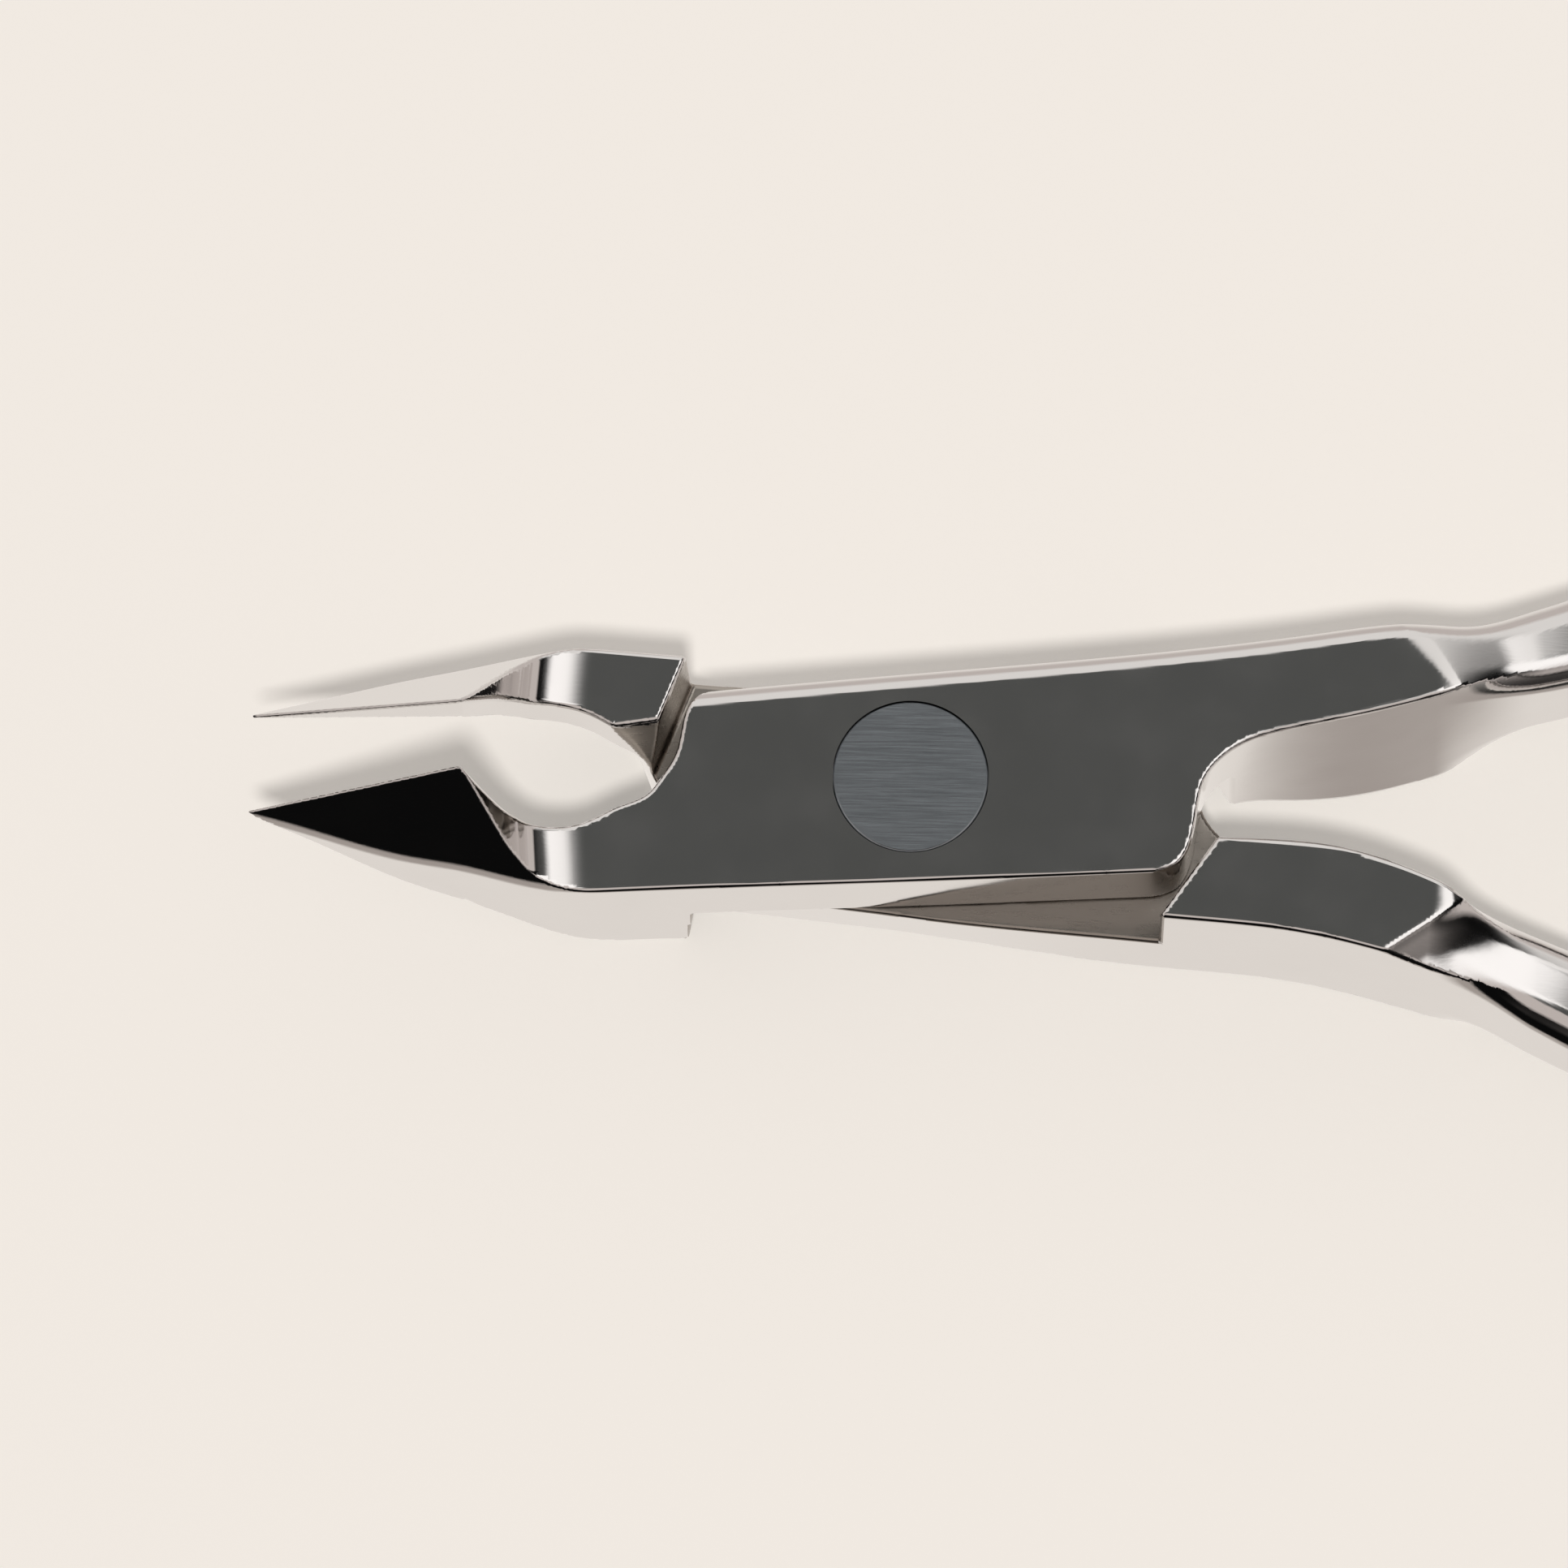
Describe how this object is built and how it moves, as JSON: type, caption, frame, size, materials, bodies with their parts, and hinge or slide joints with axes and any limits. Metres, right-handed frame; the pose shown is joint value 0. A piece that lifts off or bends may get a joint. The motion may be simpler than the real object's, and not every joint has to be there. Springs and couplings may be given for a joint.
{
  "type": "nail clipper",
  "caption": "Plier-type cuticle nipper: two crossing forged levers with a lap joint and flush rivet, pointed jaws and a sprung pair of curved handles.",
  "frame": {"origin": "on the rivet axis, in the plane of the back faces the tool lies on", "axes": "+X from the jaws towards the handles along the bisector of the opening, +Z along the rivet axis towards the front lap, +Y to the front lever's handle side"},
  "size_m": [0.1108, 0.0385, 0.0098],
  "materials": {
    "lever_steel": "mirror polished stainless steel",
    "rivet_steel": "fine ground end face",
    "spring_steel": "satin",
    "screw_steel": "polished"
  },
  "bodies": {
    "front": {"front_lever": "lever_steel", "pivot_rivet": "rivet_steel", "front_spring_screw": "screw_steel"},
    "back": {"back_lever": "lever_steel", "back_spring_screw": "screw_steel"},
    "front_leaf": {"bead_leaf_spring": "spring_steel"},
    "back_leaf": {"socket_leaf_spring": "spring_steel"}
  },
  "joints": [
    {"name": "pivot", "type": "hinge", "parent": "front", "child": "back", "pos_m": [0, 0, 0.00295], "axis": [0, 0, 1], "range_deg": [-2.5, 8.2], "stiffness_Nm_per_rad": 1.5},
    {"name": "front_leaf_flex", "type": "hinge", "parent": "front", "child": "front_leaf", "pos_m": [0.03988, 0.0112, 0.00285], "axis": [0, 0, 1], "range_deg": [-6.6, 2.1], "deforming": ["bead_leaf_spring"]},
    {"name": "back_leaf_flex", "type": "hinge", "parent": "back", "child": "back_leaf", "pos_m": [0.03988, -0.0112, 0.00285], "axis": [0, 0, 1], "range_deg": [-2.1, 6.6], "deforming": ["socket_leaf_spring"]}
  ],
  "couplings": [
    {"joint": "front_leaf_flex", "follows": "pivot", "ratio": -0.79},
    {"joint": "back_leaf_flex", "follows": "pivot", "ratio": 0.79}
  ]
}
